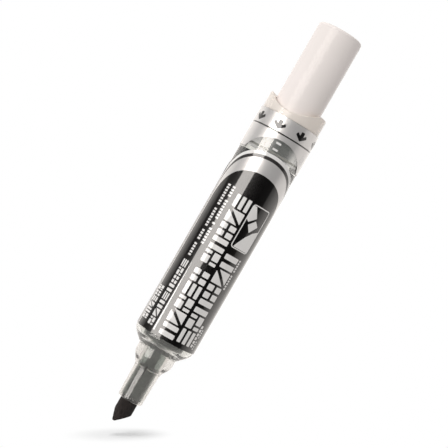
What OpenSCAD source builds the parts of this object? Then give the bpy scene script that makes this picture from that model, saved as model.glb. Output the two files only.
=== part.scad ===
// Whiteboard marker with a liquid-ink tank, a chisel nib and a push-button ink pump.
// The axis is Z. The nib points down with its writing edge at z = 0, and the button is at the top.
// Heights named *_z are measured from the writing edge.

/* [Barrel] */
// Outer diameter of the barrel
barrel_d = 18.66; // [18.4:0.01:19.0]
// Wall thickness of the barrel tube
barrel_wall = 1.03; // [0.9:0.01:1.2]
// Height of the barrel's front face
barrel_front_z = 23.6; // [23.6:0.1:23.8]
// Height of the barrel's open rear end
barrel_rear_z = 100.2; // [100:0.1:100.2]
// Thickness of the printed film shrunk round the barrel
film_t = 0.17; // [0.1:0.01:0.2]
// Height of the film's front edge
film_front_z = 28; // [27.9:0.1:31.6]
// Height of the film's rear edge
film_rear_z = 99.9; // [98.6:0.1:100]

/* [Nib] */
// Diameter of the felt nib
nib_d = 5.4; // [5.0:0.1:5.4]
// Width of the flat left on the writing edge
nib_edge_w = 0.7; // [0.4:0.1:1.4]
// Distance of the writing edge from the axis
nib_edge_x = 1.25; // [0.9:0.05:1.4]
// Height at which the two bevels meet the full diameter
nib_bevel_z = 3.3; // [2.5:0.1:4]
// Height of the nib's rear end, inside the nib holder
nib_rear_z = 19.1; // [18.1:0.1:19.4]

/* [Nozzle] */
// Height of the nozzle's open end, where the nib comes out
nozzle_tip_z = 7.1; // [6.6:0.1:8.6]
// Diameter of the nozzle at its open end
nozzle_tip_d = 7.7; // [7.2:0.05:7.8]
// Diameter of the bell that the cap seals on
bell_d = 12; // [11.6:0.1:12.4]
// Height where the bell starts to widen
bell_start_z = 16.7; // [16.4:0.1:17.2]
// Height where the bell reaches its full diameter
bell_full_z = 21.6; // [21.2:0.1:21.8]
// Diameter of the plug pushed into the barrel's neck
plug_d = 10.6; // [10.4:0.1:10.6]

/* [Ink feed] */
// Diameter of the wick from the tank to the nib
wick_d = 3; // [2.6:0.1:3.2]
// Number of fins on the collector
fin_count = 21; // [16:1:22]
// Distance from one fin to the next
fin_pitch = 1.2; // [1.05:0.05:1.2]
// Thickness of one fin
fin_t = 0.5; // [0.4:0.05:0.6]
// Diameter of the fins
fin_d = 15.8; // [14:0.1:16.2]
// Height of the ink in the tank with the nib down
ink_level_z = 87.3; // [70:0.1:88.7]

/* [Collar] */
// Outer diameter of the rear collar
collar_d = 18.3; // [18:0.1:18.6]
// Height of the collar's rim at its two low points
rim_low_z = 102.2; // [101.6:0.1:102.6]
// Height of the collar's two raised ears
rim_high_z = 105.6; // [105:0.1:106.4]
// Radius of the hollow between the ears
rim_cut_r = 11.4; // [10.6:0.1:13]
// Direction of the front low point, in degrees from the front towards +X
rim_low_angle = -14; // [-30:1:30]

/* [Button] */
// Outer diameter of the push button
button_d = 14; // [13.8:0.05:14]
// Height of the button's end face, which is the marker's length without its cap
button_end_z = 130.2; // [128:0.1:133]
// Radius round the button's end face
button_edge_r = 0.9; // [0.5:0.1:1.2]
// How far the button travels when pressed
button_travel = 6; // [4:0.1:6]

/* [Return spring] */
// Diameter of the spring wire
spring_wire_d = 0.7; // [0.5:0.05:0.7]
// Outer diameter of the return spring
spring_d = 8.9; // [8.4:0.1:9]
// Number of turns, with the closed turn at each end
spring_turns = 7; // [6:1:8]

/* [Check valve] */
// Diameter of the valve ball
ball_d = 3; // [2.8:0.05:3.1]
// Diameter of the hole that the ball closes
valve_hole_d = 1.8; // [1.4:0.1:2]
// How far the ball moves off its seat
ball_lift = 0.8; // [0.5:0.1:1]

/* [Hidden] */

$fn = 96;
// Gap between two pieces of one body that are pushed together
fit_gap = 0.05;
// Radial gap of a sliding fit
slide_gap = 0.08;
// Extra length that carries a cut past a face
past = 1;

barrel_r = barrel_d / 2;
barrel_bore_r = barrel_r - barrel_wall;
plug_r = plug_d / 2;
neck_bore_r = plug_r + fit_gap;
neck_r = neck_bore_r + 0.95;
neck_rear_z = 33.6;
// The shoulder is a 45 degree cone that an arc joins to the tube
shoulder_start_r = 6.65;
shoulder_arc_r = 3.2;

nib_r = nib_d / 2;
nib_bore_r = nib_r + fit_gap;
wick_r = wick_d / 2;
wick_bore_r = wick_r + fit_gap;
wick_front_z = 12.6;
wick_rear_z = 67.6;

nozzle_tip_r = nozzle_tip_d / 2;
nozzle_neck_r = nozzle_tip_r + 0.2;
nozzle_edge_r = 0.6;
bell_r = bell_d / 2;
plug_bore_r = 4;
plug_rear_z = 31.6;
holder_front_z = 8.2;
holder_front_r = 3.15;
holder_lip_r = 3.45;
holder_rear_z = 31;
holder_slot_w = 0.6;
holder_slot_z = [16.2, 18.9];
// The holder's slots lie beside the front and back, as moulded
holder_slot_angle = -8;

collector_front_z = 31.1;
first_fin_z = 34.6;
collector_rear_z = 64.8;
collector_core_r = 3.2;
air_slot_w = 0.9;
tank_plug_z = [61.1, 64.6];
tank_seal_z = 62.85;

cylinder_z = [89, 99.8];
cylinder_floor_t = 1.2;
cylinder_r = barrel_bore_r - 0.1;
cylinder_bore_r = 7.5;
chamber_z = cylinder_z[0] + cylinder_floor_t;
cylinder_seal_z = cylinder_z[0] + cylinder_floor_t / 2;

button_r = button_d / 2;
button_bore_r = button_r - 1.1;
piston_r = cylinder_bore_r - 0.1;
piston_front_z = chamber_z + button_travel + 0.8;
piston_z = [piston_front_z, cylinder_z[1] - 0.2];
piston_web_z = [103, 104.2];
piston_bore_r = 4.9;
seal_groove_z = [piston_z[1] - 2, piston_z[1] - 0.6];
seal_groove_r = 6.1;
intake_stem_r = 0.75;
intake_hole_r = 0.5;
intake_hole_ring_r = 1.7;
vent_r = 0.5;
vent_z = 104.9;
vent_angle = 100;

collar_r = collar_d / 2;
guide_r = button_r + slide_gap;

ball_r = ball_d / 2;
valve_hole_r = valve_hole_d / 2;
valve_bore_r = 2;
valve_seat_z = 88.2;
valve_boss_r = 3.4;
valve_boss_z = 81;
cage_flange_z = 80;
cage_seat_z = 81.8;
cage_post_r = 0.65;
cage_hole_r = 0.3;
cage_hole_ring_r = 1.55;
ball_z = valve_seat_z - sqrt(pow(ball_r, 2) - pow(valve_hole_r, 2)) - 0.02;
valve_spring_r = 1.2;
valve_wire_r = 0.15;

// Points of an arc about [centre_r, centre_z], from angle a to angle b
function arc(centre_r, centre_z, radius, a, b, steps = 8) =
    [for (i = [0:steps]) let (t = a + (b - a) * i / steps)
        [centre_r + radius * cos(t), centre_z + radius * sin(t)]];

// Points of an S-shaped curve that eases from one radius and height to another
function ease(r0, z0, r1, z1, steps = 12) =
    [for (i = [0:steps]) let (t = i / steps)
        [r0 + (r1 - r0) * (1 - cos(180 * t)) / 2, z0 + (z1 - z0) * t]];

// A point on the arc of radius r about the axis, at an angle from the front towards +X
function around(r, angle) = [r * sin(angle), -r * cos(angle)];

module turned(points) {
    rotate_extrude() polygon(points);
}

module tube(r, bore, z0, z1) {
    difference() {
        translate([0, 0, z0]) cylinder(r = r, h = z1 - z0);
        translate([0, 0, z0 - past]) cylinder(r = bore, h = z1 - z0 + 2 * past);
    }
}

// A round section ring whose outside radius is r
module o_ring(r, section_r, z) {
    translate([0, 0, z]) rotate_extrude() translate([r - section_r, 0]) circle(r = section_r, $fn = 32);
}

// A round wire wound in a helix, with a closed turn at each end
module coil_spring(outer_r, wire_r, z0, z1, turns, steps = 16, sides = 6) {
    mean_r = outer_r - wire_r;
    closed_rise = 2.1 * wire_r;
    open_rise = (z1 - z0 - 2 * wire_r - 2 * closed_rise) / (turns - 2);
    function height(t) = z0 + wire_r
        + closed_rise * (min(t, 1) + max(t - turns + 1, 0))
        + open_rise * min(max(t - 1, 0), turns - 2);
    rings = turns * steps;
    points = [
        for (i = [0:rings], j = [0:sides - 1])
            let (t = i / steps, a = 360 * t, b = 360 * j / sides, r = mean_r + wire_r * cos(b))
            [r * cos(a), r * sin(a), height(t) + wire_r * sin(b)]
    ];
    walls = [
        for (i = [0:rings - 1], j = [0:sides - 1])
            let (p = i * sides + j, q = i * sides + (j + 1) % sides)
            [p, p + sides, q + sides, q]
    ];
    ends = [
        [for (j = [0:sides - 1]) j],
        [for (j = [sides - 1:-1:0]) rings * sides + j]
    ];
    polyhedron(points, concat(walls, ends), convexity = 10);
}

module nib() {
    wide = nib_r + past;
    color("dimgray") difference() {
        intersection() {
            cylinder(r = nib_r, h = nib_rear_z);
            // the wedge seen from the front: a steep short bevel and a long one meet in a narrow flat
            rotate([90, 0, 0]) linear_extrude(height = 2 * wide, center = true) polygon([
                [-nib_edge_x - nib_edge_w / 2, 0],
                [-nib_edge_x + nib_edge_w / 2, 0],
                [nib_r, nib_bevel_z],
                [wide, nib_bevel_z + 0.5],
                [wide, nib_rear_z + past],
                [-wide, nib_rear_z + past],
                [-wide, nib_bevel_z + 0.5],
                [-nib_r, nib_bevel_z]
            ]);
        }
        translate([0, 0, wick_front_z]) cylinder(r = wick_bore_r, h = nib_rear_z);
    }
}

module nozzle() {
    color([0.9, 0.88, 0.85, 0.6]) difference() {
        turned(concat(
            [[nib_bore_r, nozzle_tip_z]],
            arc(nozzle_tip_r - nozzle_edge_r, nozzle_tip_z + nozzle_edge_r, nozzle_edge_r, -90, 0),
            ease(nozzle_neck_r, bell_start_z, bell_r, bell_full_z),
            [
                [bell_r, barrel_front_z - 0.2],
                [bell_r - 0.2, barrel_front_z - fit_gap],
                [plug_r, barrel_front_z - fit_gap],
                [plug_r, plug_rear_z - 0.6],
                [plug_r - 0.4, plug_rear_z],
                [plug_bore_r, plug_rear_z],
                [plug_bore_r, 19.2],
                [holder_front_r + 0.1, 17.4],
                [holder_front_r + 0.1, holder_front_z - 0.3],
                [nib_bore_r, holder_front_z - 0.3]
            ]
        ));
        // groove for the neck seal
        tube(plug_r + past, 4.45, 28.6, 29.6);
    }
}

module nib_holder() {
    color("gainsboro") difference() {
        turned([
            [nib_bore_r, holder_front_z],
            [holder_front_r, holder_front_z],
            [holder_front_r, 17.9],
            [holder_lip_r, 18.2],
            [holder_lip_r, 19.6],
            [holder_front_r, 20],
            [holder_front_r, 29],
            [plug_bore_r - fit_gap, 29.2],
            [plug_bore_r - fit_gap, holder_rear_z],
            [wick_bore_r, holder_rear_z],
            [wick_bore_r, nib_rear_z + 0.3],
            [nib_bore_r, nib_rear_z + 0.3]
        ]);
        for (turn = [0, 90])
            rotate([0, 0, holder_slot_angle + turn])
                translate([-holder_slot_w / 2, -plug_r, holder_slot_z[0]])
                    cube([holder_slot_w, 2 * plug_r, holder_slot_z[1] - holder_slot_z[0]]);
    }
}

module nozzle_seal() {
    color("dimgray") o_ring(neck_bore_r - 0.02, 0.44, 29.1);
}

module feed_wick() {
    color("slategray") translate([0, 0, wick_front_z + 0.2])
        cylinder(r = wick_r, h = wick_rear_z - wick_front_z - 0.2);
}

module collector() {
    color("whitesmoke") difference() {
        union() {
            tube(plug_bore_r - fit_gap, wick_bore_r, collector_front_z, first_fin_z);
            tube(collector_core_r, wick_bore_r, first_fin_z - 0.5, collector_rear_z);
            for (i = [0:fin_count - 1])
                let (z = first_fin_z + i * fin_pitch) tube(fin_d / 2, collector_core_r - 0.2, z, z + fin_t);
        }
        // the air slot that runs along the back of the fins
        translate([-air_slot_w / 2, collector_core_r + 0.8, first_fin_z - past])
            cube([air_slot_w, fin_d, fin_count * fin_pitch + past]);
    }
}

module tank_plug() {
    groove_z = tank_seal_z - 0.5;
    color("gainsboro") difference() {
        tube(barrel_bore_r - fit_gap, collector_core_r + fit_gap, tank_plug_z[0], tank_plug_z[1]);
        tube(barrel_r, barrel_bore_r - 0.9, groove_z, groove_z + 1);
    }
}

module tank_seal() {
    color("dimgray") o_ring(barrel_bore_r - 0.02, 0.42, tank_seal_z);
}

module barrel() {
    arc_start_r = barrel_r - shoulder_arc_r * (1 - cos(45));
    cone_z = barrel_front_z + 0.4;
    arc_start_z = cone_z + arc_start_r - shoulder_start_r;
    arc_z = arc_start_z + shoulder_arc_r * sin(45);
    color([0.87, 0.88, 0.86, 0.45]) turned(concat(
        [
            [neck_bore_r, barrel_front_z],
            [neck_r, barrel_front_z],
            [neck_r, barrel_front_z + 0.3],
            [shoulder_start_r, cone_z]
        ],
        arc(barrel_r - shoulder_arc_r, arc_z, shoulder_arc_r, -45, 0),
        [
            [barrel_r, barrel_rear_z],
            [barrel_bore_r, barrel_rear_z]
        ],
        // the inside of the shoulder follows the outside one wall thickness in
        arc(barrel_r - shoulder_arc_r, arc_z, shoulder_arc_r - barrel_wall, 0, -45),
        [
            [neck_r, 25.6],
            [neck_r, neck_rear_z],
            [neck_bore_r, neck_rear_z]
        ]
    ));
}

module label_film() {
    color("lightgray") tube(barrel_r + film_t, barrel_r + 0.01, film_front_z, film_rear_z);
}

module ink_charge() {
    ink_r = barrel_bore_r - 0.02;
    color([0.08, 0.08, 0.09]) difference() {
        translate([0, 0, collector_rear_z + 0.05])
            cylinder(r = ink_r, h = ink_level_z - collector_rear_z - 0.05);
        translate([0, 0, collector_rear_z - past])
            cylinder(r = wick_bore_r, h = wick_rear_z - collector_rear_z + past);
        translate([0, 0, cage_flange_z - 0.1]) cylinder(r = valve_boss_r + 0.1, h = ink_level_z);
    }
}

module pump_cylinder() {
    color([0.93, 0.93, 0.92, 0.8]) difference() {
        union() {
            translate([0, 0, cylinder_z[0]])
                cylinder(r = cylinder_r, h = cylinder_z[1] - cylinder_z[0]);
            translate([0, 0, valve_boss_z])
                cylinder(r = valve_boss_r, h = cylinder_z[0] - valve_boss_z + 0.1);
        }
        translate([0, 0, chamber_z]) cylinder(r = cylinder_bore_r, h = cylinder_z[1]);
        translate([0, 0, valve_seat_z - past]) cylinder(r = valve_hole_r, h = 5);
        translate([0, 0, valve_boss_z - past])
            cylinder(r = valve_bore_r, h = valve_seat_z - valve_boss_z + past);
        tube(barrel_r, cylinder_r - 0.58, cylinder_seal_z - 0.38, cylinder_seal_z + 0.38);
    }
}

module cylinder_seal() {
    color("dimgray") o_ring(barrel_bore_r - 0.02, 0.33, cylinder_seal_z);
}

module valve_cage() {
    post_z = ball_z - ball_r - ball_lift;
    color("whitesmoke") difference() {
        translate([0, 0, cage_flange_z]) union() {
            cylinder(r = valve_boss_r - 0.4, h = valve_boss_z - cage_flange_z - fit_gap);
            cylinder(r = valve_bore_r - fit_gap, h = cage_seat_z - cage_flange_z);
            // the post stops the ball at the end of its lift
            cylinder(r = cage_post_r, h = post_z - cage_flange_z);
        }
        for (turn = [0:90:270])
            rotate([0, 0, turn]) translate([cage_hole_ring_r, 0, cage_flange_z - past])
                cylinder(r = cage_hole_r, h = 5);
    }
}

module valve_spring() {
    // the last turn meets the ball where the ball is as wide as the wire's own circle
    mean_r = valve_spring_r - valve_wire_r;
    reach = ball_r + valve_wire_r + 0.02;
    top_z = ball_z - sqrt(pow(reach, 2) - pow(mean_r, 2)) + valve_wire_r;
    color("silver")
        coil_spring(valve_spring_r, valve_wire_r, cage_seat_z + 0.02, top_z, 5, steps = 14);
}

module valve_ball() {
    color("silver") translate([0, 0, ball_z]) sphere(r = ball_r);
}

module return_spring() {
    color("silver") coil_spring(
        spring_d / 2, spring_wire_d / 2, chamber_z + 0.02, piston_web_z[0] - 0.02, spring_turns);
}

module collar() {
    edge = 0.3;
    guide_rise = 10;
    base_z = barrel_rear_z + 0.15;
    color([0.9, 0.87, 0.84, 0.85]) difference() {
        union() {
            translate([0, 0, base_z]) cylinder(r = collar_r, h = rim_high_z - edge - base_z);
            translate([0, 0, rim_high_z - edge])
                cylinder(r1 = collar_r, r2 = collar_r - edge, h = edge);
            translate([0, 0, cylinder_z[1] + 0.02]) cylinder(r = barrel_bore_r - fit_gap, h = past);
        }
        translate([0, 0, cylinder_z[1] - past]) cylinder(r = guide_r, h = guide_rise);
        // the hollows at the front and back leave an ear on each side
        for (low = [rim_low_angle, rim_low_angle + 180])
            rotate([0, 0, low - 90]) translate([0, 0, rim_low_z + rim_cut_r])
                rotate([0, 90, 0]) cylinder(r = rim_cut_r, h = 2 * collar_r);
    }
}

module push_button() {
    top = button_end_z - button_edge_r;
    vent = around(button_r, vent_angle);
    color("snow") difference() {
        turned(concat(
            [[button_bore_r, piston_z[1] + 0.01], [button_r, piston_z[1] + 0.01]],
            arc(button_r - button_edge_r, top, button_edge_r, 0, 90),
            [[0, button_end_z], [0, button_end_z - 1.2], [button_bore_r, button_end_z - 1.2]]
        ));
        // the vent that lets air in behind the piston, hidden by one ear of the collar
        translate([vent[0], vent[1], vent_z]) rotate([90, 0, vent_angle])
            cylinder(r = vent_r, h = 4, center = true);
    }
}

module piston() {
    color("gainsboro") difference() {
        union() {
            tube(piston_r, piston_bore_r, piston_z[0], piston_z[1]);
            tube(button_bore_r - fit_gap, piston_bore_r, piston_z[0] + 0.1, piston_web_z[1]);
            translate([0, 0, piston_web_z[0]])
                cylinder(r = piston_bore_r + 0.1, h = piston_web_z[1] - piston_web_z[0]);
        }
        tube(cylinder_r, seal_groove_r, seal_groove_z[0], seal_groove_z[1]);
        translate([0, 0, piston_web_z[0] - past]) cylinder(r = intake_stem_r + fit_gap, h = 5);
        for (turn = [0:90:270])
            rotate([0, 0, turn]) translate([intake_hole_ring_r, 0, piston_web_z[0] - past])
                cylinder(r = intake_hole_r, h = 5);
    }
}

module piston_seal() {
    outer = cylinder_bore_r - 0.04;
    inner = seal_groove_r + 0.02;
    middle = (outer + inner) / 2;
    z0 = seal_groove_z[0] + 0.05;
    z1 = seal_groove_z[1] - 0.05;
    // a U-shaped section, open towards the pressure side
    color("dimgray") turned([
        [inner, z1], [inner, z0], [middle - 0.25, z0], [middle, z0 + 0.55],
        [middle + 0.25, z0], [outer, z0], [outer, z1]
    ]);
}

module intake_valve() {
    disc_z = piston_web_z[0] - 0.6;
    top_z = piston_web_z[1] + 0.05;
    color("dimgray") turned([
        [0, disc_z],
        [1.2, disc_z],
        [2.5, disc_z + 0.3],
        [2.5, piston_web_z[0] - 0.03],
        [intake_stem_r, piston_web_z[0] - 0.03],
        [intake_stem_r, top_z],
        [1.15, top_z],
        [intake_stem_r - 0.2, top_z + 1],
        [0, top_z + 1]
    ]);
}

nib();
nozzle();
nib_holder();
nozzle_seal();
feed_wick();
collector();
tank_plug();
tank_seal();
barrel();
label_film();
ink_charge();
pump_cylinder();
cylinder_seal();
valve_cage();
valve_spring();
valve_ball();
return_spring();
collar();
push_button();
piston();
piston_seal();
intake_valve();
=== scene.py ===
"""The looks of a whiteboard marker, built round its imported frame.

The marker stands along Z with its nib down, and the front of its label faces -Y. Angles round
the axis are in degrees from the front towards +X, and sizes are in millimetres until they
reach Blender, which works in metres.
"""

import logging
import math
from collections.abc import Sequence
from dataclasses import dataclass, field
from enum import Enum

import bpy
from mathutils import Matrix, Vector


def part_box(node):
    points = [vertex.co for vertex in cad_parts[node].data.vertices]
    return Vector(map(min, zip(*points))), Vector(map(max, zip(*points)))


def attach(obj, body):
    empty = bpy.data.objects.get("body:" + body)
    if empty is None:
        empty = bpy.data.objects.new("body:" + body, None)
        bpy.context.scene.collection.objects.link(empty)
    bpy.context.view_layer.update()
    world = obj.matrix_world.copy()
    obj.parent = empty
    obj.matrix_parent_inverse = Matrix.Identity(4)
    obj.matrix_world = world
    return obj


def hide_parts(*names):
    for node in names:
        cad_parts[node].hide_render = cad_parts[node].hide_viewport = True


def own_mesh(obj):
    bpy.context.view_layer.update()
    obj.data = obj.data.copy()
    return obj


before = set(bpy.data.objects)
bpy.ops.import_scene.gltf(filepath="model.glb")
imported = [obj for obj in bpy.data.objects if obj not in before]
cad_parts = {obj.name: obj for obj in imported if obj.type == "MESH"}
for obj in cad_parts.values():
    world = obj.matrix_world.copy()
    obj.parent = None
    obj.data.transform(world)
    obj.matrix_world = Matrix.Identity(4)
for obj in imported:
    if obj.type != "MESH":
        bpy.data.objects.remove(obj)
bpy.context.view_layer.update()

LOG = logging.getLogger("marker")
MM = 0.001
CASE = "case"
# points nearer than this are one point, and cuts are this exact
WELD = 0.0005 * MM
CUT = 0.0001 * MM

Piece = bpy.types.Object
Tree = bpy.types.NodeTree
Socket = bpy.types.NodeSocket
Colour = tuple[float, float, float, float]
Point = tuple[float, float]
Inputs = dict[str, object]
Material = bpy.types.Material


def heights_of(node: str) -> tuple[float, float]:
    """The heights of a CAD node's lowest and highest points, in millimetres."""
    low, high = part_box(node)
    return low.z / MM, high.z / MM


def radius_of(node: str) -> float:
    """The largest radius of a round CAD node, in millimetres."""
    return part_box(node)[1].y / MM


# --- finishes -------------------------------------------------------------------------------


def linear(code: str) -> Colour:
    """Turns an sRGB hex colour, such as "d8d4cf", into the linear RGBA of a socket."""
    parts = [int(code[i : i + 2], 16) / 255 for i in (0, 2, 4)]
    red, green, blue = (p / 12.92 if p <= 0.04045 else ((p + 0.055) / 1.055) ** 2.4 for p in parts)
    return red, green, blue, 1.0


def add_node(
    tree: Tree, kind: str, settings: dict[str, object] | None = None, **inputs: object
) -> bpy.types.Node:
    """Adds a node with its settings, its values and the links that feed it.

    Args:
        tree: the node tree to add to.
        kind: the node's Blender type name.
        settings: properties of the node itself.
        inputs: an input's name, with spaces as underscores, and either a value or the output
            socket that feeds it. A name of the form i3 means the fourth input.

    Returns:
        The new node.
    """
    made = tree.nodes.new(kind)
    for name, value in (settings or {}).items():
        setattr(made, name, value)
    for name, value in inputs.items():
        numbered = name[0] == "i" and name[1:].isdigit()
        socket = made.inputs[int(name[1:])] if numbered else made.inputs[name.replace("_", " ")]
        if isinstance(value, Socket):
            tree.links.new(value, socket)
        else:
            socket.default_value = value
    return made


def blank_material(name: str) -> tuple[Material, Tree]:
    """Makes a material that holds no node yet."""
    material = bpy.data.materials.new(name)
    material.use_nodes = True
    material.node_tree.nodes.clear()
    return material, material.node_tree


def object_points(tree: Tree, stretch: Sequence[float]) -> Socket:
    """Object coordinates scaled along X, Y and Z."""
    source = add_node(tree, "ShaderNodeTexCoord").outputs["Object"]
    mapping = add_node(tree, "ShaderNodeMapping", Vector=source, Scale=tuple(stretch))
    return mapping.outputs["Vector"]


def noise(
    tree: Tree, size_mm: float, detail: float = 2.0, along_z: float = 1.0, harshness: float = 0.5
) -> Socket:
    """Noise fixed to the piece, with values that keep near 0.5.

    Args:
        tree: the node tree to add to.
        size_mm: the width of its grains.
        detail: how many finer layers it has.
        along_z: the scale along Z. Less than 1 draws the grains out along the marker.
        harshness: how strong the finer layers are.

    Returns:
        The socket that carries the values.
    """
    grains = add_node(
        tree,
        "ShaderNodeTexNoise",
        Vector=object_points(tree, (1, 1, along_z)),
        Scale=1 / (size_mm * MM),
        Detail=detail,
        Roughness=harshness,
    )
    return grains.outputs["Fac"]


def film_waves(tree: Tree) -> Socket:
    """The slow waves that shrinking leaves in film, drawn out along the marker."""
    return noise(tree, 9.0, along_z=0.4)


def spread(tree: Tree, value: Socket, low: float, high: float) -> Socket:
    """Maps a noise value, which keeps near 0.5, onto a range."""
    ranged = add_node(
        tree, "ShaderNodeMapRange", Value=value, From_Min=0.3, From_Max=0.7, To_Min=low, To_Max=high
    )
    return ranged.outputs["Result"]


def rise(
    tree: Tree, value: Socket, low: float, high: float, start: float = 0.0, end: float = 1.0
) -> Socket:
    """A soft step from one level to another while a value goes from low to high."""
    step = add_node(
        tree,
        "ShaderNodeMapRange",
        {"interpolation_type": "SMOOTHSTEP"},
        Value=value,
        From_Min=low,
        From_Max=high,
        To_Min=start,
        To_Max=end,
    )
    return step.outputs["Result"]


def blend(tree: Tree, share: Socket, low: Colour, high: Colour) -> Socket:
    """Goes from one colour to another while a share goes from 0 to 1."""
    mix = add_node(tree, "ShaderNodeMix", {"data_type": "RGBA"}, i0=share, i6=low, i7=high)
    return mix.outputs[2]


def relief(tree: Tree, height: Socket, strength: float, depth_mm: float) -> Socket:
    """The shading of a surface that a noise value raises."""
    bump = add_node(
        tree, "ShaderNodeBump", Strength=strength, Distance=depth_mm * MM, Height=height
    )
    return bump.outputs["Normal"]


def along(tree: Tree, toward: Socket, axis: Sequence[float]) -> Socket:
    """How far a direction points along an axis."""
    product = add_node(
        tree, "ShaderNodeVectorMath", {"operation": "DOT_PRODUCT"}, i0=toward, i1=tuple(axis)
    )
    return product.outputs["Value"]


def outward(degrees: float) -> tuple[float, float, float]:
    """The direction away from the axis at an angle from the front towards +X."""
    return math.sin(math.radians(degrees)), -math.cos(math.radians(degrees)), 0.0


class Finish:
    """A procedural finish, built as one Principled surface."""

    name: str

    def build(self) -> Material:
        """Makes the material."""
        material, tree = blank_material(self.name)
        body = add_node(tree, "ShaderNodeBsdfPrincipled", **self.surface(tree))
        add_node(tree, "ShaderNodeOutputMaterial", Surface=body.outputs["BSDF"])
        return material

    def surface(self, tree: Tree) -> Inputs:
        """The surface's inputs by name, as values or as sockets of new nodes."""
        raise NotImplementedError


@dataclass(frozen=True)
class Moulded(Finish):
    """Opaque injection-moulded plastic: two close shades, an uneven satin and a fine grain."""

    name: str
    light: str
    dark: str
    roughness: float
    blotch_mm: float = 14.0
    grain_mm: float = 0.25
    grain_depth: float = 0.05
    subsurface: float = 0.0
    gloss: float = 0.5

    def surface(self, tree: Tree) -> Inputs:
        """Blotches of two shades under the grain."""
        blotch = noise(tree, self.blotch_mm)
        share = spread(tree, blotch, 0.0, 1.0)
        return {
            "Base_Color": blend(tree, share, linear(self.dark), linear(self.light)),
            "Roughness": spread(tree, blotch, self.roughness - 0.03, self.roughness + 0.03),
            "IOR": 1.5,
            "Normal": relief(tree, noise(tree, self.grain_mm, 3.0), self.grain_depth, 0.02),
            "Specular_IOR_Level": self.gloss,
            "Subsurface_Weight": self.subsurface,
            "Subsurface_Scale": 0.6 * MM,
        }


@dataclass(frozen=True)
class SeeThrough(Finish):
    """Clear or translucent moulded plastic: light passes, bends and blurs a little."""

    name: str
    tint: str
    transmission: float
    roughness: float
    flow_mm: float = 6.0
    ior: float = 1.49
    # painted shade: a darker tint on the side of the part that faces an angle, and how far round it
    # reaches
    painted_shade: str = ""
    painted_shade_angle: float = 10.0
    painted_shade_reach: float = 0.84
    # painted light: the share of its colour that the part gives off as its own glow
    lit: float = 0.0

    def colour(self, tree: Tree) -> Socket | Colour:
        """The tint, with painted shade: darker on the side that faces the given angle."""
        if not self.painted_shade:
            return linear(self.tint)
        across = object_points(tree, (1, 1, 0))
        away = add_node(tree, "ShaderNodeVectorMath", {"operation": "NORMALIZE"}, i0=across)
        facing = along(tree, away.outputs[0], outward(self.painted_shade_angle))
        share = rise(tree, facing, self.painted_shade_reach, 1.0)
        return blend(tree, share, linear(self.tint), linear(self.painted_shade))

    def surface(self, tree: Tree) -> Inputs:
        """A tinted wall with the melt's flow lines, which run along the part."""
        flow = noise(tree, self.flow_mm, 3.0, along_z=0.25)
        colour = self.colour(tree)
        # painted light: the wall glows with the lit share of its own colour, which stands for daylight
        # that the clear wall in front lets through
        return {
            "Base_Color": colour,
            "Emission_Color": colour,
            "Emission_Strength": self.lit,
            "Roughness": spread(tree, flow, self.roughness * 0.8, self.roughness * 1.2),
            "Normal": relief(tree, flow, 0.12, 0.05),
            "IOR": self.ior,
            "Transmission_Weight": self.transmission,
        }


@dataclass(frozen=True)
class Film(Finish):
    """Clear shrink film: it mirrors a few per cent and lets the rest through unbent."""

    name: str = "Clear PET-G film, shrunk"
    mirrored: float = 0.016

    def surface(self, tree: Tree) -> Inputs:
        """A mirror that covers only its own share, which adds gloss without a milky veil."""
        waves = film_waves(tree)
        return {
            "Base_Color": linear("f8f6f3"),
            "Metallic": 1.0,
            "Roughness": 0.06,
            "Normal": relief(tree, waves, 0.1, 0.04),
            "Alpha": spread(tree, waves, self.mirrored * 0.9, self.mirrored * 1.1),
        }


@dataclass(frozen=True)
class Wash(Finish):
    """A patchy film of dried ink that darkens what lies behind it."""

    name: str
    tint: str
    cover: float
    patch_mm: float = 3.0

    def surface(self, tree: Tree) -> Inputs:
        """Patches that run down the wall."""
        patches = noise(tree, self.patch_mm, 4.0, along_z=0.3)
        return {
            "Base_Color": linear(self.tint),
            "Roughness": 0.35,
            "Alpha": spread(tree, patches, self.cover * 0.75, self.cover * 1.25),
        }


@dataclass(frozen=True)
class PrintInk(Finish):
    """Gravure ink under glossy film: a flat or metallic colour with the film's sharp gloss."""

    name: str
    colour: str
    metallic: float = 0.0
    roughness: float = 0.5
    flake_mm: float = 0.12

    def surface(self, tree: Tree) -> Inputs:
        """Flakes streaked along Z, the way the film was drawn, under a wavy coat."""
        streak = noise(tree, self.flake_mm, along_z=0.15)
        base = linear(self.colour)
        darker = tuple(c * 0.93 for c in base[:3]) + (1.0,)
        return {
            "Base_Color": blend(tree, spread(tree, streak, 0.0, 1.0), darker, base),
            "Metallic": self.metallic,
            "Roughness": spread(tree, streak, self.roughness - 0.04, self.roughness + 0.04),
            "Coat_Weight": 1.0,
            "Coat_Roughness": 0.07,
            "Coat_IOR": 1.57,
            "Specular_IOR_Level": 0.2,
            "Coat_Normal": relief(tree, film_waves(tree), 0.1, 0.04),
        }


@dataclass(frozen=True)
class Felt(Finish):
    """Pressed polyester fibre soaked with ink: nearly black, dull, with fibres along the nib."""

    name: str = "Polyester felt, pressed and ink-soaked"
    fibre_mm: float = 0.16

    def surface(self, tree: Tree) -> Inputs:
        """Dark and lighter fibres, raised from each other."""
        fibres = noise(tree, self.fibre_mm, 4.0, along_z=0.22, harshness=0.7)
        share = spread(tree, fibres, 0.0, 1.0)
        return {
            "Base_Color": blend(tree, share, linear("0b0a0a"), linear("312b29")),
            "Roughness": 0.85,
            "Specular_IOR_Level": 0.2,
            "Sheen_Weight": 0.08,
            "Sheen_Roughness": 0.5,
            "Normal": relief(tree, fibres, 0.7, 0.06),
        }


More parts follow.
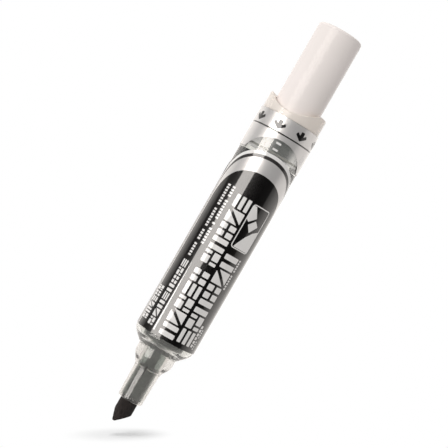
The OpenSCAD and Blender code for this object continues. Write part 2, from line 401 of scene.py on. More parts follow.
@dataclass(frozen=True)
class Steel(Finish):
    """Stainless steel, drawn or polished: a neutral mirror dulled by fine lines."""

    name: str
    roughness: float
    line_mm: float = 0.2

    def surface(self, tree: Tree) -> Inputs:
        """A mirror of uneven sharpness."""
        lines = noise(tree, self.line_mm, 3.0)
        return {
            "Base_Color": linear("c9c7c4"),
            "Metallic": 1.0,
            "Roughness": spread(tree, lines, self.roughness * 0.7, self.roughness * 1.3),
        }


FELT = Felt().build()
WICK = Moulded(
    "Bonded polyester wick, ink-soaked", "26262a", "17171a", 0.7, grain_mm=0.3, grain_depth=0.5
).build()
NOZZLE_PP = SeeThrough("Translucent polypropylene, moulded", "efeeec", 0.95, 0.11).build()
CLEAR = SeeThrough("Clear polypropylene, moulded", "f5f6f4", 0.94, 0.06, ior=1.41).build()
FROSTED = SeeThrough("Frosted polypropylene, spark-textured", "fff6ed", 0.3, 0.3, 3.0).build()
HOLDER = SeeThrough("Natural polypropylene, thin-walled", "adb9b4", 0.84, 0.12).build()
LIP = Moulded("Natural polypropylene, rolled edge", "f4f3f0", "ecebe7", 0.3, subsurface=0.2).build()
# the pump cylinder carries painted shade on its front side and a painted glow
CYLINDER = SeeThrough(
    "Inky polypropylene, moulded", "d9d7d6", 0.5, 0.3, painted_shade="4c504e", painted_shade_angle=14.0, lit=0.26
).build()
NATURAL = Moulded("Natural polypropylene, moulded", "d9d7d2", "cfccc6", 0.35, subsurface=0.2).build()
BUTTON_WHITE = Moulded("Warm white ABS, satin-moulded", "ece3df", "e8e0db", 0.2, gloss=0.12).build()
RUBBER = Moulded("Nitrile rubber, moulded", "262524", "1a1918", 0.55).build()
SILICONE = Moulded("Natural silicone rubber, moulded", "c9c8c3", "b9b8b3", 0.4).build()
NECK_WASH = Wash("Dried ink film", "3f423f", 0.55).build()
INKED = Moulded("Polypropylene soaked with ink", "7d807d", "5f625f", 0.3).build()
INK = Moulded("Black liquid ink", "0b0b0c", "060607", 0.08, grain_depth=0.0).build()
WIRE = Steel("Stainless spring wire, drawn", 0.25).build()
BALL = Steel("Stainless steel, polished", 0.08).build()
FILM = Film().build()
INK_BLACK = PrintInk("Black gravure ink under film", "080707").build()
INK_CHARCOAL = PrintInk("Charcoal gravure ink under film", "2e2c2c").build()
INK_WHITE = PrintInk("White gravure ink under film", "e9e6e3").build()
INK_SILVER = PrintInk("Silver gravure ink under film", "d2cfcd", 0.35, 0.35).build()


# --- modelling by operators -----------------------------------------------------------------


def leave_edit() -> None:
    """Goes back to object mode."""
    bpy.ops.object.mode_set(mode="OBJECT")


def fix_place() -> None:
    """Moves the active piece's place, turn and scale into its mesh."""
    bpy.ops.object.transform_apply(location=True, rotation=True, scale=True)


def deselect() -> None:
    """Leaves nothing selected, in object mode."""
    if bpy.context.mode != "OBJECT":
        leave_edit()
    bpy.ops.object.select_all(action="DESELECT")


def pick(piece: Piece) -> None:
    """Makes a piece the only one selected, and the active one."""
    deselect()
    piece.select_set(True)
    bpy.context.view_layer.objects.active = piece


def take_all() -> None:
    """Selects all of the piece that is being edited."""
    bpy.ops.mesh.select_all(action="SELECT")


def edit_all(piece: Piece) -> None:
    """Enters edit mode on a piece with all of it selected."""
    pick(piece)
    bpy.ops.object.mode_set(mode="EDIT")
    take_all()


def weld(piece: Piece) -> None:
    """Joins a piece's faces along their edges."""
    edit_all(piece)
    bpy.ops.mesh.remove_doubles(threshold=WELD)
    leave_edit()


def settle(piece: Piece, smooth_deg: float = 35.0) -> None:
    """Merges doubles, turns faces outwards, moves the place into the mesh and shades it."""
    edit_all(piece)
    bpy.ops.mesh.remove_doubles(threshold=WELD)
    bpy.ops.mesh.normals_make_consistent(inside=False)
    leave_edit()
    fix_place()
    bpy.ops.object.shade_smooth_by_angle(angle=math.radians(smooth_deg))


def copy_of(piece: Piece, name: str) -> Piece:
    """Copies a piece together with its mesh."""
    twin = piece.copy()
    twin.data = piece.data.copy()
    twin.name = name
    bpy.context.scene.collection.objects.link(twin)
    return twin


def cad_copy(node: str, name: str) -> Piece:
    """Copies a CAD node's shape as one skin."""
    piece = copy_of(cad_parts[node], name)
    weld(piece)
    return piece


def pull_point(x: float, y: float) -> None:
    """Draws a flat edge from the selected point to a new one."""
    bpy.ops.mesh.extrude_vertices_move(TRANSFORM_OT_translate={"value": (x * MM, y * MM, 0)})


def fresh(name: str) -> Piece:
    """Names the piece that an operator has just added and settles its place."""
    piece = bpy.context.object
    piece.name = name
    fix_place()
    return piece


def apply_modifier(piece: Piece, kind: str, **settings: object) -> None:
    """Adds a modifier with its settings and applies it."""
    pick(piece)
    modifier = piece.modifiers.new(kind.title(), kind)
    for name, value in settings.items():
        setattr(modifier, name, value)
    bpy.ops.object.modifier_apply(modifier=modifier.name)


def oblong(x0: float, x1: float, y0: float, y1: float) -> tuple[Point, ...]:
    """The corners of an upright oblong."""
    return (x0, y0), (x1, y0), (x1, y1), (x0, y1)


def turn(name: str, outline: Sequence[Point], segments: int = 160) -> Piece:
    """Turns an outline about Z, one ring at a time, as on a lathe.

    Args:
        name: the piece's name.
        outline: (radius, height) in millimetres, in order. The last point joins the first.
        segments: how many sides each ring has.

    Returns:
        The closed piece, with its place in its mesh.
    """
    deselect()
    r, z = outline[0]
    bpy.ops.mesh.primitive_circle_add(
        vertices=segments, radius=r * MM, location=(0, 0, z * MM), fill_type="NOTHING"
    )
    piece = bpy.context.object
    piece.name = name
    edit_all(piece)
    for next_r, next_z in [*outline[1:], outline[0]]:
        step = (0, 0, (next_z - z) * MM)
        bpy.ops.mesh.extrude_edges_move(TRANSFORM_OT_translate={"value": step})
        ratio = next_r / r
        bpy.ops.transform.resize(value=(ratio, ratio, 1), center_override=(0, 0, next_z * MM))
        r, z = next_r, next_z
    settle(piece)
    return piece


def dress(piece: Piece, material: Material, replaces: Sequence[str] = ()) -> None:
    """Gives a finished piece its material and rides it on the marker's case.

    Args:
        piece: the piece, with its place in its mesh.
        material: what it is made of.
        replaces: the CAD nodes it stands for.
    """
    piece.data.materials.clear()
    piece.data.materials.append(material)
    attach(piece, CASE)
    if replaces:
        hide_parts(*replaces)
    LOG.info("%s: %d faces, rides on %s", piece.name, len(piece.data.polygons), CASE)


def paint_node(node: str, material: Material) -> None:
    """Gives a CAD node that stays in view its material."""
    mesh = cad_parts[node].data
    for i in range(len(mesh.materials)):
        mesh.materials[i] = material
    LOG.info("%s: CAD node, %s", node, material.name)


# --- the marker's sub-assemblies ------------------------------------------------------------


@dataclass
class Collar:
    """The rear collar: the frame's own shape, with its edges rounded as a mould leaves them."""

    voxel: float = 0.13
    passes: int = 8

    def build(self) -> None:
        """Rounds a copy of the CAD collar and dresses it."""
        piece = cad_copy("collar", "collar_moulded")
        apply_modifier(piece, "REMESH", mode="VOXEL", voxel_size=self.voxel * MM)
        apply_modifier(piece, "SMOOTH", factor=0.5, iterations=self.passes)
        settle(piece, 180)
        dress(piece, FROSTED, replaces=["collar"])


@dataclass
class WettedInk:
    """The ink, a hair wider than the bore so that it wets the clear wall without an air gap."""

    lap: float = 0.04

    def build(self) -> None:
        """Copies the ink's shape, spreads it into the wall and inks it."""
        piece = cad_copy("ink_charge", "ink_wetted")
        edit_all(piece)
        wider = 1 + self.lap / radius_of("ink_charge")
        bpy.ops.transform.resize(value=(wider, wider, 1), center_override=(0, 0, 0))
        leave_edit()
        settle(piece, 30)
        dress(piece, INK, replaces=["ink_charge"])


@dataclass
class NeckWash:
    """The ink that has dried on the barrel's inner neck, seen through the shoulder."""

    radius: float = 6.33
    thickness: float = 0.05
    foot: float = 25.9
    head: float = 33.4

    def build(self) -> None:
        """Turns the thin sleeve and dresses it."""
        outer = self.radius + self.thickness
        outline = oblong(self.radius, outer, self.foot, self.head)
        dress(turn("neck_ink_wash", outline), NECK_WASH)


@dataclass
class Coil:
    """A coil spring, copied from the frame with its shape unchanged.

    Its travel, the joint's range and a hair more, is not used.
    """

    node: str
    joint: str
    travel: float

    def build(self) -> None:
        """Copies the coil, joins its faces and dresses it."""
        piece = cad_copy(self.node, f"{self.node}_coil")
        settle(piece, 60)
        dress(piece, WIRE, replaces=[self.node])
        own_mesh(piece)


@dataclass
class HolderLips:
    """The rolled lip round the nib holder, in two halves with the moulded slot between them."""

    height: float = 18.05
    ring_r: float = 3.12
    wire_r: float = 0.16
    slot_angle: float = -8.0
    slot_w: float = 0.9
    droop: float = 0.35

    def build(self) -> None:
        """Makes a ring, cuts the slots out of it and lets each half droop at its middle."""
        deselect()
        bpy.ops.mesh.primitive_torus_add(
            major_radius=self.ring_r * MM,
            minor_radius=self.wire_r * MM,
            major_segments=96,
            minor_segments=12,
            location=(0, 0, self.height * MM),
        )
        piece = fresh("holder_lips")
        across = Vector(outward(self.slot_angle + 90))
        for side, name in ((1, "holder_lip_right"), (-1, "holder_lip_left")):
            half = copy_of(piece, name)
            edit_all(half)
            bpy.ops.mesh.bisect(
                plane_co=across * side * self.slot_w / 2 * MM,
                plane_no=across * side,
                use_fill=True,
                clear_inner=True,
                threshold=CUT,
            )
            leave_edit()
            for vertex in half.data.vertices:
                share = abs(vertex.co.dot(across)) / (self.ring_r * MM)
                vertex.co.z -= self.droop * MM * math.sin(math.pi * min(share, 1.0)) ** 2
            settle(half, 60)
            dress(half, LIP)
        bpy.data.objects.remove(piece)


@dataclass
class NibTip:
    """The chisel felt: a rod cut to a wedge, with worn edges and a slightly fuzzy skin."""

    edge_x: float = -1.25
    edge_w: float = 0.7
    bevel_z: float = 3.3
    wear: float = 0.12
    fuzz: float = 0.04
    fuzz_grain: float = 0.5
    voxel: float = 0.1

    def build(self) -> None:
        """Cuts the wedge out of a rod and dresses it."""
        r, top = radius_of("nib"), heights_of("nib")[1]
        deselect()
        bpy.ops.mesh.primitive_cylinder_add(
            vertices=96, radius=r * MM, depth=top * MM, location=(0, 0, top / 2 * MM)
        )
        piece = fresh("nib_felt")
        for side in (-1, 1):
            start_x = self.edge_x + side * self.edge_w / 2
            run = abs(side * r - start_x)
            edit_all(piece)
            bpy.ops.mesh.bisect(
                plane_co=(start_x * MM, 0, 0),
                plane_no=Vector((side * self.bevel_z, 0, -run)).normalized(),
                use_fill=True,
                clear_outer=True,
                threshold=10 * CUT,
            )
        self.round_edges(piece)
        apply_modifier(piece, "REMESH", mode="VOXEL", voxel_size=self.voxel * MM)
        cloud = bpy.data.textures.new("felt_fuzz", "CLOUDS")
        cloud.noise_scale = self.fuzz_grain * MM
        apply_modifier(piece, "DISPLACE", texture=cloud, strength=self.fuzz * MM, texture_coords="LOCAL")
        settle(piece, 180)
        dress(piece, FELT, replaces=["nib"])

    def round_edges(self, piece: Piece) -> None:
        """Rounds the wedge's edges as writing wears them."""
        pick(piece)
        bpy.ops.object.mode_set(mode="EDIT")
        bpy.ops.mesh.select_mode(type="EDGE")
        bpy.ops.mesh.select_all(action="DESELECT")
        bpy.ops.mesh.edges_select_sharp(sharpness=math.radians(20))
        bpy.ops.mesh.bevel(offset=self.wear * MM, segments=3, affect="EDGES")
        bpy.ops.mesh.select_mode(type="VERT")
        leave_edit()


class Wrap:
    """Lays flat pieces, drawn with X round the marker and Y along it, onto the film."""

    thickness = 0.02
    slice_mm = 0.6

    def __init__(self) -> None:
        """Takes the film's radius from the frame."""
        self.film_r = radius_of("label_film")

    def width(self, degrees: float) -> float:
        """The length on the film of an angle round the axis, in millimetres."""
        return math.radians(degrees) * self.film_r

    def slice_up(self, piece: Piece) -> None:
        """Cuts a flat piece into narrow strips, so that it bends smoothly."""
        xs = [v.co.x / MM for v in piece.data.vertices]
        edit_all(piece)
        for i in range(math.ceil(min(xs) / self.slice_mm), math.ceil(max(xs) / self.slice_mm)):
            take_all()
            bpy.ops.mesh.bisect(
                plane_co=(i * self.slice_mm * MM, 0, 0), plane_no=(1, 0, 0), threshold=CUT
            )
        leave_edit()

    def lay(self, piece: Piece, angle: float, lift: float = 0.01) -> None:
        """Bends a flat piece round the axis and gives it the thickness of a layer of ink.

        Args:
            piece: the flat piece, whose X = 0 comes to lie at the angle.
            angle: the direction of X = 0.
            lift: how far the layer's underside is above the film.
        """
        radius = (self.film_r + lift) * MM
        pick(piece)
        fix_place()
        piece.data.transform(Matrix.Rotation(math.pi / 2, 4, "X"))
        xs = [v.co.x for v in piece.data.vertices]
        bend = (max(xs) - min(xs)) / radius
        apply_modifier(piece, "SIMPLE_DEFORM", deform_method="BEND", deform_axis="Z", angle=bend)
        piece.data.transform(Matrix.Translation((0, -radius, 0)))
        piece.data.transform(Matrix.Rotation(math.radians(angle), 4, "Z"))
        self.face_out(piece)
        apply_modifier(
            piece, "SOLIDIFY", thickness=self.thickness * MM, offset=1.0, use_even_offset=False
        )
        pick(piece)
        bpy.ops.object.shade_smooth_by_angle(angle=math.radians(30))

    def face_out(self, piece: Piece) -> None:
        """Turns the sheet's faces away from the axis."""
        facing = sum(
            p.area * (p.normal.x * p.center.x + p.normal.y * p.center.y) for p in piece.data.polygons
        )
        if facing < 0:
            edit_all(piece)
            bpy.ops.mesh.flip_normals()
            leave_edit()


def cut_shape(name: str, points: Sequence[Point], rounding: float = 0.0) -> Piece:
    """Draws one flat shape, point by point, and rounds its corners.

    Args:
        name: the shape's name.
        points: its corners, X round the marker and Y along it, in millimetres.
        rounding: how much is taken off each corner.

    Returns:
        The flat piece.
    """
    deselect()
    start = points[0]
    bpy.ops.mesh.primitive_plane_add(size=MM, location=(start[0] * MM, start[1] * MM, 0))
    piece = fresh(name)
    edit_all(piece)
    bpy.ops.mesh.merge(type="CENTER")
    for (x, y), (next_x, next_y) in zip(points, [*points[1:], points[0]]):
        pull_point(next_x - x, next_y - y)
    take_all()
    bpy.ops.mesh.remove_doubles(threshold=2 * WELD)
    bpy.ops.mesh.edge_face_add()
    if rounding:
        bpy.ops.mesh.bevel(offset=rounding * MM, segments=3, affect="VERTICES")
    leave_edit()
    return piece


def cut_frame(name: str, x: Point, y: Point, rounding: float, line: float) -> Piece:
    """Draws the outline of an oblong with rounded corners, as a line of one width."""
    piece = cut_shape(name, oblong(*x, *y), rounding)
    edit_all(piece)
    bpy.ops.mesh.inset(thickness=line * MM)
    bpy.ops.mesh.delete(type="FACE")
    leave_edit()
    return piece


def join(name: str, parts: Sequence[Piece]) -> Piece:
    """Joins pieces into the first of them."""
    deselect()
    for part in parts:
        part.select_set(True)
    bpy.context.view_layer.objects.active = parts[0]
    bpy.ops.object.join()
    joined = bpy.context.object
    joined.name = name
    return joined


class Zone(Enum):
    """The printed areas of one face of the label with their inks, from the nib to the rear."""

    PANEL = ("print_panel", INK_BLACK)
    SILVER = ("print_silver_band", INK_SILVER)
    DARK = ("print_dark_stripe", INK_CHARCOAL)
    WHITE = ("print_white_stripe", INK_WHITE)
    REAR = ("print_silver_rear", INK_SILVER)
    BORDER = ("print_silver_border", INK_SILVER)


@dataclass(frozen=True)
class Arch:
    """A half circle on the label, by its radius and the height of its top."""

    radius: float
    top_z: float

    @property
    def centre_z(self) -> float:
        """The height of its centre."""
        return self.top_z - self.radius


# the outer edge of the black panel and of each band round it
ARCHES = {
    Zone.PANEL: Arch(12.6, 82.6),
    Zone.SILVER: Arch(13.0, 87.05),
    Zone.DARK: Arch(13.8, 88.05),
    Zone.WHITE: Arch(14.5, 89.1),
}


class Tile(Enum):
    """The plain patterns that stand in for letters: shapes of (along, across) in a unit square."""

    SOLID = (oblong(0, 1, 0, 1),)
    POSTS = (oblong(0, 0.38, 0, 1), oblong(0.62, 1, 0, 1))
    RAILS = (oblong(0, 1, 0, 0.24), oblong(0, 1, 0.38, 0.62), oblong(0, 1, 0.76, 1))
    PANES = (
        oblong(0, 0.42, 0, 0.42),
        oblong(0.58, 1, 0, 0.42),
        oblong(0, 0.42, 0.58, 1),
        oblong(0.58, 1, 0.58, 1),
    )
    WEDGES = (((0, 0), (0.86, 0), (0, 0.86)), ((1, 0.14), (1, 1), (0.14, 1)))
    BRICKS = (
        oblong(0, 0.62, 0, 0.44),
        oblong(0.76, 1, 0, 0.44),
        oblong(0, 0.24, 0.58, 1),
        oblong(0.38, 1, 0.58, 1),
    )


@dataclass(frozen=True)
class GreekedLine:
    """A line of print with plain bars for its letters, running along the marker.

    Its sides are angles from the front, and a gap in its words is a space in the pattern.
    """

    name: str
    top_angle: float
    foot_angle: float
    start_z: float
    end_z: float
    pattern: str
    gap: float
    rounding: float


# each letter of a pattern names a tile; a space is a word space
TILES = {
    "o": Tile.SOLID,
    "p": Tile.POSTS,
    "r": Tile.RAILS,
    "a": Tile.PANES,
    "w": Tile.WEDGES,
    "b": Tile.BRICKS,
}

LINES = tuple(
    GreekedLine(*row)
    for row in (
        ("print_headline_first", -16.2, 12.6, 29.1, 50.7, "pwbra", 0.55, 0.2),
        ("print_headline_second", -16.2, 12.6, 52.9, 74.7, "bpawr", 0.55, 0.2),
        ("print_headline_third", 18.5, 47.5, 29.5, 58.3, "rbpawp", 0.6, 0.22),
        ("print_bold_word", -45.0, -33.0, 29.8, 51.0, "bwprpabr", 0.4, 0.12),
        ("print_name_word", -70.0, -53.0, 30.5, 41.1, "bpwrab", 0.4, 0.14),
        ("print_small_line_first", -42.6, -36.6, 52.5, 75.9, "ooooo oooo ooooooo oooooooo", 0.3, 0.08),
        ("print_small_line_second", -31.2, -25.4, 57.2, 75.9, "oooooo o ooooooo oooo", 0.3, 0.08),
        ("print_grade_mark", 50.8, 56.2, 29.7, 36.7, "oooooo", 0.3, 0.08),
        ("print_tip_mark", 50.4, 54.8, 48.7, 58.3, "oooooo ooooo", 0.25, 0.07),
        ("print_edge_mark", 58.6, 62.0, 29.2, 35.6, "oooo oooo", 0.3, 0.07),
    )
)


# the small bars in the clear window: sides as angles, mid heights and half their width
MARK_SIDES = (-3.5, 6.5)
MARK_HEIGHTS = (90.6, 92.6)
MARK_HALF = 0.3

# the plain sign on the panel: its frame, and shapes as shares of the frame's two sides
SIGN_SIDES = (17.1, 57.9)
SIGN_LOW, SIGN_HIGH = 60.5, 74.5
SIGN_SHAPES = (
    (
        "print_sign_stroke",
        ((0.12, 0.03), (0.96, 0.03), (0.96, 0.52), (0.86, 0.5), (0.66, 0.44), (0.42, 0.31), (0.2, 0.12)),
        0.25,
    ),
    ("print_sign_sheet", ((0.22, 0.56), (0.45, 0.42), (0.74, 0.6), (0.5, 0.7)), 0.12),
    (
        "print_sign_board",
        ((0.04, 0.96), (0.04, 0.66), (0.16, 0.61), (0.47, 0.75), (0.18, 0.97)),
        0.15,
    ),
)


@dataclass
class Label:
    """The printed sleeve: two like faces, one turned half round from the other."""

    face_angle: float = 6.0
    window_r: float = 12.0
    window_top_z: float = 93.7
    rear_z: float = 87.7
    line_z: float = 95.4
    line_w: float = 0.4
    arrow_z: float = 97.55
    arrow_h: float = 2.8
    arrow_w: float = 4.0
    arrow_stroke: float = 1.2
    arrow_angle: float = -13.7
    arrow_count: int = 8
    word_lift: float = 0.035
    leg_length: float = 60.0
    head_lap: float = 0.4
    arch_sides: int = 240
    wrap: Wrap = field(default_factory=Wrap)

    @property
    def faces(self) -> tuple[tuple[str, float], ...]:
        """The two faces by name, with the angle of each one's middle."""
        return ("front", self.face_angle), ("back", self.face_angle + 180)

    def build(self) -> None:
        """Prints both faces, the ring of arrows and the greeked lines."""
        self.foot, film_head = heights_of("label_film")
        self.head = film_head + self.head_lap
        self.half = self.wrap.width(90)
        for face, angle in self.faces:
            self.print_zones(face, angle)
        self.print_arrows()
        lines = [self.greek(line) for line in LINES]
        for flat in [*lines, self.underline(), *self.pictogram(), *self.window_marks()]:
            self.print_word(flat)

    def print_zones(self, face: str, angle: float) -> None:
        """Prints the panel, bands and stripes of one face."""
        inner = ARCHES[Zone.PANEL]
        panel = self.arch(inner)
        self.drop_to(self.foot)
        self.finish_zone(panel, Zone.PANEL, face, angle)
        for zone in (Zone.SILVER, Zone.DARK, Zone.WHITE):
            outer = ARCHES[zone]
            band = self.arch(outer)
            self.add_legs()
            ratio = inner.radius / outer.radius
            bpy.ops.mesh.extrude_edges_move()
            bpy.ops.transform.resize(
                value=(ratio, ratio, 1), center_override=(0, outer.centre_z * MM, 0)
            )
            bpy.ops.transform.translate(value=(0, (inner.centre_z - outer.centre_z) * MM, 0))
            self.trim_foot(self.foot)
            self.finish_zone(band, zone, face, angle)
            inner = outer
        rear = self.arch(Arch(self.window_r, self.window_top_z), self.rear_z)
        self.reach_sides()
        line_foot, line_head = self.line_z - self.line_w / 2, self.line_z + self.line_w / 2
        self.drop_to(line_foot)
        self.finish_zone(rear, Zone.REAR, face, angle)
        self.finish_zone(self.strip(line_head, self.head), Zone.BORDER, face, angle)
        line = self.strip(line_foot, line_head)
        line.name = f"print_ring_line_{face}"
        self.wrap.lay(line, angle)
        dress(line, INK_BLACK)

    def arch(self, shape: Arch, floor: float | None = None) -> Piece:
        """The upper part of a circle, as a line of edges, left in edit mode and selected.

        Args:
            shape: the circle.
            floor: the height below which it is cut off, or None for its centre.

        Returns:
            The new piece, drawn flat.
        """
        deselect()
        bpy.ops.mesh.primitive_circle_add(
            vertices=self.arch_sides,
            radius=shape.radius * MM,
            location=(0, shape.centre_z * MM, 0),
            fill_type="NOTHING",
        )
        piece = fresh("arch")
        edit_all(piece)
        self.trim_foot(shape.centre_z if floor is None else floor)
        return piece

    def trim_foot(self, z: float) -> None:
        """Cuts off what lies below a height."""
        take_all()
        bpy.ops.mesh.bisect(
            plane_co=(0, z * MM, 0), plane_no=(0, 1, 0), clear_inner=True, threshold=CUT
        )
        take_all()

    def pick_end(self, side: int) -> float:
        """Selects the end of a line on one side, in edit mode, and gives its place across."""
        mesh = bpy.context.object.data
        bpy.ops.mesh.select_all(action="DESELECT")
        leave_edit()
        end = max(mesh.vertices, key=lambda v: (round(side * v.co.x, 7), -v.co.y))
        end.select = True
        across = end.co.x
        bpy.ops.object.mode_set(mode="EDIT")
        return across

    def add_legs(self) -> None:
        """Runs the two ends of an arch straight down, past the film's front edge."""
        for side in (-1, 1):
            self.pick_end(side)
            pull_point(0, -self.leg_length)
        take_all()

    def reach_sides(self) -> None:
        """Runs the two ends of an arch straight out to the sides of the face."""
        for side in (-1, 1):
            gap = self.half - abs(self.pick_end(side)) / MM
            steps = math.ceil(gap / self.wrap.slice_mm)
            for _ in range(steps):
                pull_point(side * gap / steps, 0)
        take_all()

    def drop_to(self, z: float) -> None:
        """Extrudes the selected edges to one height."""
        bpy.ops.mesh.extrude_edges_move()
        bpy.ops.transform.resize(value=(1, 0, 1), center_override=(0, z * MM, 0))

    def strip(self, low: float, high: float) -> Piece:
        """A straight band across one face, drawn flat."""
        band = cut_shape("strip", oblong(-self.half, self.half, low, high))
        self.wrap.slice_up(band)
        return band

    def finish_zone(self, piece: Piece, zone: Zone, face: str, angle: float) -> None:
        """Wraps a zone round the barrel and inks it."""
        name, ink = zone.value
        piece.name = f"{name}_{face}"
        weld(piece)
        self.wrap.lay(piece, angle)
        dress(piece, ink)

    def print_arrows(self) -> None:
        """Prints the ring of arrows that point at the nib."""
        half_w, half_h, half_s = self.arrow_w / 2, self.arrow_h / 2, self.arrow_stroke / 2
        right = [
            (half_w, 0.02 * half_h),
            (half_w - 0.45, 0.62 * half_h),
            (half_s, 0.08 * half_h),
            (half_s, half_h),
        ]
        left = [(-x, y) for x, y in reversed(right)]
        points = [(x, y + self.arrow_z) for x, y in [(0, -half_h), *right, *left]]
        arrow = cut_shape("print_arrow", points, 0.24)
        self.wrap.slice_up(arrow)
        for i in range(self.arrow_count):
            twin = copy_of(arrow, f"print_arrow_{i + 1}")
            self.wrap.lay(twin, self.arrow_angle + i * 360 / self.arrow_count, self.word_lift)
            dress(twin, INK_BLACK)
        bpy.data.objects.remove(arrow)

    def flat_x(self, angle: float) -> float:
        """Where an angle from the marker's front falls on a face's flat drawing."""
        return self.wrap.width(angle - self.face_angle)

    def greek(self, line: GreekedLine) -> Piece:
        """Draws a line of bars, flat."""
        x0, x1 = self.flat_x(line.top_angle), self.flat_x(line.foot_angle)
        pitch = (line.end_z - line.start_z + line.gap) / len(line.pattern)
        bars = []
        for i, letter in enumerate(line.pattern):
            if letter == " ":
                continue
            y0 = line.start_z + i * pitch
            size = pitch - line.gap
            for corners in TILES[letter].value:
                points = [(x0 + (x1 - x0) * b, y0 + size * a) for a, b in corners]
                bars.append(cut_shape(line.name, points, line.rounding))
        return join(line.name, bars)

    def underline(self) -> Piece:
        """Draws the tapered stroke beside the bold word, flat."""
        points = [(-28.0, 29.1), (-24.6, 29.1), (-27.2, 51.6), (-28.0, 51.6)]
        return cut_shape("print_underline", [(self.flat_x(a), z) for a, z in points], 0.1)

    def pictogram(self) -> list[Piece]:
        """Draws the framed sign of a board, a sheet and a stroke, flat."""
        x0, x1 = (self.flat_x(angle) for angle in SIGN_SIDES)
        tall = SIGN_HIGH - SIGN_LOW
        pieces = [cut_frame("print_sign_frame", (x0, x1), (SIGN_LOW, SIGN_HIGH), 0.9, 0.3)]
        for name, shares, rounding in SIGN_SHAPES:
            points = [(x0 + (x1 - x0) * a, SIGN_LOW + tall * b) for a, b in shares]
            pieces.append(cut_shape(name, points, rounding))
        return pieces

    def window_marks(self) -> list[Piece]:
        """Draws the two small bars in the clear window and the small frame beside it, flat."""
        marks = []
        x = tuple(self.flat_x(angle) for angle in MARK_SIDES)
        for i, z in enumerate(MARK_HEIGHTS):
            sides = oblong(*x, z - MARK_HALF, z + MARK_HALF)
            marks.append(cut_shape(f"print_window_bar_{i + 1}", sides, 0.2))
        x = (self.flat_x(58.0), self.flat_x(68.0))
        marks.append(cut_frame("print_side_mark", x, (91.0, 93.2), 0.4, 0.3))
        return marks

    def print_word(self, flat: Piece) -> None:
        """Prints one flat drawing in white on both faces."""
        self.wrap.slice_up(flat)
        for face, angle in self.faces:
            twin = copy_of(flat, f"{flat.name}_{face}")
            self.wrap.lay(twin, angle, self.word_lift)
            dress(twin, INK_WHITE)
        bpy.data.objects.remove(flat)


@dataclass(frozen=True)
class Softbox:
    """A rectangular light that faces the marker's middle and isn't seen in it."""

    name: str
    toward: tuple[float, float, float]
    distance: float
    size: tuple[float, float]
    glow: float

    def hang(self, aim: Vector) -> None:
        """Hangs the light so that it faces a point."""
        data = bpy.data.lights.new(self.name, "AREA")
        data.shape = "RECTANGLE"
        data.size, data.size_y = self.size[0] * MM, self.size[1] * MM
        # the glow is what white paper at the marker, facing the light, would shine with
        data.energy = self.glow * (math.pi * self.distance * MM) ** 2
        light = bpy.data.objects.new(self.name, data)
        bpy.context.scene.collection.objects.link(light)
        direction = Vector(self.toward).normalized()
        light.location = aim + direction * self.distance * MM
        light.rotation_euler = direction.to_track_quat("Z", "Y").to_euler()
        light.visible_camera = False
        light.visible_glossy = False
        light.visible_transmission = False


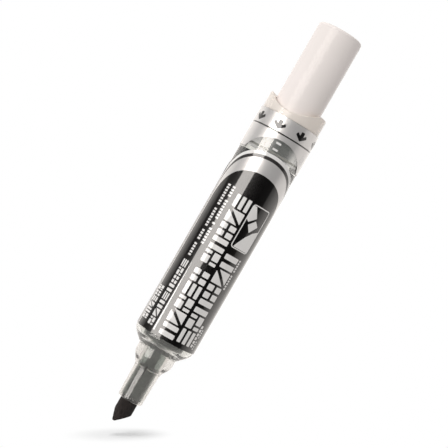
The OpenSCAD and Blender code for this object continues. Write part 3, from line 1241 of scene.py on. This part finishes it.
@dataclass
class Studio:
    """The pale floor, the soft lights, the white surround and the camera."""

    camera_at: tuple[float, float, float] = (-1.8, -416.0, 65.1)
    lens: float = 115.0
    lean: float = 30.0
    floor_r: float = 42.0
    floor_drop: float = 3.9
    fade_from: float = 4.0
    fade_to: float = 17.0
    ambient: float = 0.43
    window_glow: float = 8.5
    window_angle: float = -37.5
    window_half: float = 19.5
    window_edge: float = 0.01
    window_ends: Point = (0.5, 0.55)
    backdrop_dark: float = 0.012
    backdrop_edge_glow: float = 0.6
    backdrop_glow: float = 1.3
    backdrop_angle: float = 164.0
    backdrop_edge: Point = (-0.125, -0.1)
    backdrop_full: float = 0.4

    def build(self) -> None:
        """Sets the stage."""
        roll = math.radians(self.lean)
        self.right = Vector((math.cos(roll), 0, math.sin(roll)))
        self.up = Vector((-math.sin(roll), 0, math.cos(roll)))
        self.place_camera()
        self.lay_floor()
        self.surround()
        aim = Vector((0, 0, 66)) * MM
        for box in (
            Softbox("key_softbox", (-0.588, -0.809, 0.05), 900, (500, 350), 0.59),
            Softbox("top_softbox", tuple(self.up), 700, (300, 300), 0.34),
            Softbox("fill_softbox", (0.98, -0.1, 0.1), 900, (500, 500), 0.15),
        ):
            box.hang(aim)
        view = bpy.context.scene.view_settings
        view.view_transform = "Standard"
        view.look = "None"

    def place_camera(self) -> None:
        """Looks straight across the axis, rolled so that the marker leans to the right."""
        data = bpy.data.cameras.new("camera")
        data.lens, data.sensor_width = self.lens, 36.0
        data.clip_start, data.clip_end = 0.01, 10.0
        camera = bpy.data.objects.new("camera", data)
        bpy.context.scene.collection.objects.link(camera)
        turned = Matrix((self.right, self.up, Vector((0, -1, 0)))).transposed().to_4x4()
        camera.matrix_world = Matrix.Translation(Vector(self.camera_at) * MM) @ turned
        bpy.context.scene.camera = camera

    def lay_floor(self) -> None:
        """Lays a round pale floor, level in the leaning view, just under the nib."""
        deselect()
        bpy.ops.mesh.primitive_circle_add(
            vertices=96,
            radius=self.floor_r * MM,
            location=self.up * -self.floor_drop * MM,
            rotation=(0, -math.radians(self.lean), 0),
            fill_type="NGON",
        )
        floor = bpy.context.object
        floor.name = "floor"
        material, tree = blank_material("White seamless paper, lit through")
        paper = add_node(tree, "ShaderNodeBsdfDiffuse", Color=linear("d4d4d4"))
        glow = add_node(tree, "ShaderNodeEmission", Color=linear("ffffff"), Strength=0.28)
        lit = add_node(tree, "ShaderNodeAddShader", i0=paper.outputs[0], i1=glow.outputs[0])
        # the paper turns to plain white light away from the nib, so the floor has no edge
        spot = add_node(tree, "ShaderNodeTexCoord").outputs["Object"]
        reach = add_node(tree, "ShaderNodeVectorMath", {"operation": "LENGTH"}, i0=spot)
        fade = rise(tree, reach.outputs["Value"], self.fade_from * MM, self.fade_to * MM)
        white = add_node(tree, "ShaderNodeEmission", Color=linear("ffffff"), Strength=1.0)
        clear = add_node(tree, "ShaderNodeBsdfTransparent")
        back = add_node(tree, "ShaderNodeNewGeometry").outputs["Backfacing"]
        surface = lit
        for share, other in ((fade, white), (back, clear)):
            ends = {"i1": surface.outputs[0], "i2": other.outputs[0]}
            surface = add_node(tree, "ShaderNodeMixShader", i0=share, **ends)
        add_node(tree, "ShaderNodeOutputMaterial", Surface=surface.outputs[0])
        floor.data.materials.append(material)
        floor.visible_glossy = False
        floor.visible_transmission = False
        floor.visible_diffuse = False

    def surround(self) -> None:
        """A white room, whose gloss is a bright backdrop and one tall window."""
        world = bpy.data.worlds.new("studio")
        bpy.context.scene.world = world
        world.use_nodes = True
        tree = world.node_tree
        tree.nodes.clear()
        path = add_node(tree, "ShaderNodeLightPath").outputs
        gloss = self.reckon(tree, "ADD", self.backdrop(tree), self.window(tree))
        by_ray = self.choose(tree, path["Is Glossy Ray"], self.ambient, gloss)
        seen = self.reckon(tree, "MAXIMUM", path["Is Camera Ray"], path["Is Transmission Ray"])
        background = add_node(
            tree,
            "ShaderNodeBackground",
            Color=blend(tree, path["Is Glossy Ray"], linear("ffffff"), linear("fffaf5")),
            Strength=self.choose(tree, seen, by_ray, 1.0),
        )
        add_node(tree, "ShaderNodeOutputWorld", Surface=background.outputs[0])

    def backdrop(self, tree: Tree) -> Socket:
        """The glow behind the marker, with a quick edge and then a slow rise."""
        toward = add_node(tree, "ShaderNodeTexCoord").outputs["Generated"]
        behind = along(tree, toward, outward(self.backdrop_angle))
        edge = rise(tree, behind, *self.backdrop_edge, self.backdrop_dark, self.backdrop_edge_glow)
        more = self.backdrop_glow - self.backdrop_edge_glow
        depth = rise(tree, behind, self.backdrop_edge[1], self.backdrop_full, 0.0, more)
        return self.reckon(tree, "ADD", edge, depth)

    def window(self, tree: Tree) -> Socket:
        """The glow of a tall window on one side, with soft edges."""
        toward = add_node(tree, "ShaderNodeTexCoord").outputs["Generated"]
        half = math.sin(math.radians(self.window_half))
        centre = along(tree, toward, outward(self.window_angle))
        glow = rise(tree, centre, *self.window_ends, 0.0, self.window_glow)
        sides = (half - self.window_edge, half + self.window_edge)
        for axis, ends in ((outward(self.window_angle + 90), sides), ((0, 0, 1), self.window_ends)):
            aside = self.reckon(tree, "ABSOLUTE", along(tree, toward, axis))
            glow = self.reckon(tree, "MULTIPLY", glow, rise(tree, aside, *ends, 1.0, 0.0))
        return glow

    def reckon(self, tree: Tree, operation: str, *values: object) -> Socket:
        """The result of a sum on values or sockets."""
        inputs = {f"i{i}": value for i, value in enumerate(values)}
        return add_node(tree, "ShaderNodeMath", {"operation": operation}, **inputs).outputs[0]

    def choose(self, tree: Tree, share: Socket, off: object, on: object) -> Socket:
        """One value where a share is 0 and another where it is 1."""
        mix = add_node(tree, "ShaderNodeMix", {"data_type": "FLOAT"}, i0=share, i2=off, i3=on)
        return mix.outputs[0]


def paint_cad() -> None:
    """Gives every CAD node that stays in view its material."""
    painted = {
        "nozzle": NOZZLE_PP,
        "nib_holder": HOLDER,
        "nozzle_seal": RUBBER,
        "feed_wick": WICK,
        "collector": INKED,
        "tank_plug": NATURAL,
        "tank_seal": RUBBER,
        "barrel": CLEAR,
        "label_film": FILM,
        "pump_cylinder": CYLINDER,
        "cylinder_seal": SILICONE,
        "valve_cage": NATURAL,
        "valve_ball": BALL,
        "push_button": BUTTON_WHITE,
        "piston": NATURAL,
        "piston_seal": RUBBER,
        "intake_valve": RUBBER,
    }
    for node, material in painted.items():
        paint_node(node, material)


def main() -> None:
    """Builds the marker and its stage."""
    logging.basicConfig(level=logging.INFO, format="%(name)s: %(message)s")
    Studio().build()
    paint_cad()
    Collar().build()
    HolderLips().build()
    NibTip().build()
    WettedInk().build()
    NeckWash().build()
    Coil("return_spring", "button_press", 6.05).build()
    Coil("valve_spring", "check_ball_lift", 0.81).build()
    Label().build()


if __name__ == "__main__":
    main()
